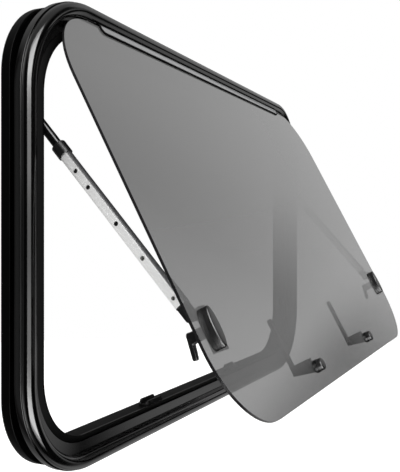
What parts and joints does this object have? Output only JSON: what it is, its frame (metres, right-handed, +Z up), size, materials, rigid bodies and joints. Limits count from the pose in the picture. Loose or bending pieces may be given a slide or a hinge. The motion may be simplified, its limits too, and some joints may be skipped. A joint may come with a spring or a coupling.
{
  "type": "caravan window",
  "caption": "Top-hung caravan window: rounded black aluminium frame clamped through a wall, tinted glass sash held open by telescopic stays and shut by turn latches.",
  "frame": {"origin": "on the flat back face of the outer flange, the plane of the wall's outer skin, in the middle of the bottom flange's width and length", "axes": "+X along the window to the right seen from outside, +Y into the room, +Z up; the sash opens towards -Y"},
  "size_m": [0.85, 0.2546, 0.5],
  "materials": {
    "frame_coat": "gloss",
    "seal_rubber": "matte",
    "tinted_glass": "polished",
    "hinge_alloy": "satin",
    "tube_alloy": "satin",
    "black_steel": "satin",
    "black_plastic": "satin",
    "bright_steel": "satin"
  },
  "bodies": {
    "frame": {"outer_frame": "frame_coat", "clamp_frame": "frame_coat", "glass_seal": "seal_rubber", "stay_hanger_left": "black_plastic", "stay_hanger_right": "black_plastic", "bottom_keeper_left": "black_plastic", "bottom_keeper_right": "black_plastic", "side_keeper_left": "black_plastic", "side_keeper_right": "black_plastic"},
    "sash": {"glass_pane": "tinted_glass", "hinge_rail": "hinge_alloy", "hinge_trim": "seal_rubber", "stay_cap_left": "black_plastic", "stay_cap_right": "black_plastic", "stay_bracket_left": "black_plastic", "stay_bracket_right": "black_plastic", "latch_cap_left": "black_plastic", "latch_cap_right": "black_plastic", "latch_base_left": "black_plastic", "latch_base_right": "black_plastic"},
    "bottom_latch_left": {"bottom_lever_left": "black_plastic"},
    "side_latch_left": {"side_lever_left": "black_plastic"},
    "stay_upper_left": {"stay_rod_left": "black_steel"},
    "stay_lower_left": {"stay_tube_left": "tube_alloy", "stay_collar_left": "black_plastic", "stay_end_left": "black_plastic", "stay_button_left": "bright_steel", "stay_rivet_left": "bright_steel"},
    "bottom_latch_right": {"bottom_lever_right": "black_plastic"},
    "side_latch_right": {"side_lever_right": "black_plastic"},
    "stay_upper_right": {"stay_rod_right": "black_steel"},
    "stay_lower_right": {"stay_tube_right": "tube_alloy", "stay_collar_right": "black_plastic", "stay_end_right": "black_plastic", "stay_button_right": "bright_steel", "stay_rivet_right": "bright_steel"}
  },
  "joints": [
    {"name": "sash_hinge", "type": "hinge", "parent": "frame", "child": "sash", "pos_m": [0, -0.01005, 0.47325], "axis": [-1, 0, 0], "range_deg": [-28, 0]},
    {"name": "bottom_latch_left_turn", "type": "hinge", "parent": "sash", "child": "bottom_latch_left", "pos_m": [-0.138, -0.21685, 0.08431], "axis": [0, -0.8829, 0.4695], "range_deg": [-90, 0]},
    {"name": "side_latch_left_turn", "type": "hinge", "parent": "sash", "child": "side_latch_left", "pos_m": [-0.371, -0.1807, 0.1523], "axis": [0, -0.8829, 0.4695], "range_deg": [-90, 0]},
    {"name": "stay_left_pivot", "type": "hinge", "parent": "frame", "child": "stay_upper_left", "pos_m": [-0.375, 0.014, 0.3617], "axis": [-1, 0, 0], "range_deg": [-38.41, 0]},
    {"name": "stay_left_slide", "type": "slide", "parent": "stay_upper_left", "child": "stay_lower_left", "axis": [0, -0.6639, -0.7478], "range_m": [-0.03145, 0]},
    {"name": "bottom_latch_right_turn", "type": "hinge", "parent": "sash", "child": "bottom_latch_right", "pos_m": [0.138, -0.21685, 0.08431], "axis": [0, 0.8829, -0.4695], "range_deg": [-90, 0]},
    {"name": "side_latch_right_turn", "type": "hinge", "parent": "sash", "child": "side_latch_right", "pos_m": [0.371, -0.1807, 0.1523], "axis": [0, 0.8829, -0.4695], "range_deg": [-90, 0]},
    {"name": "stay_right_pivot", "type": "hinge", "parent": "frame", "child": "stay_upper_right", "pos_m": [0.375, 0.014, 0.3617], "axis": [-1, 0, 0], "range_deg": [-38.41, 0]},
    {"name": "stay_right_slide", "type": "slide", "parent": "stay_upper_right", "child": "stay_lower_right", "axis": [0, -0.6639, -0.7478], "range_m": [-0.03145, 0]}
  ],
  "couplings": [
    {"joint": "stay_left_pivot", "follows": "sash_hinge", "ratio": 1.3719},
    {"joint": "stay_left_slide", "follows": "sash_hinge", "m_per_rad": 0.064355},
    {"joint": "stay_right_pivot", "follows": "sash_hinge", "ratio": 1.3719},
    {"joint": "stay_right_slide", "follows": "sash_hinge", "m_per_rad": 0.064355}
  ]
}
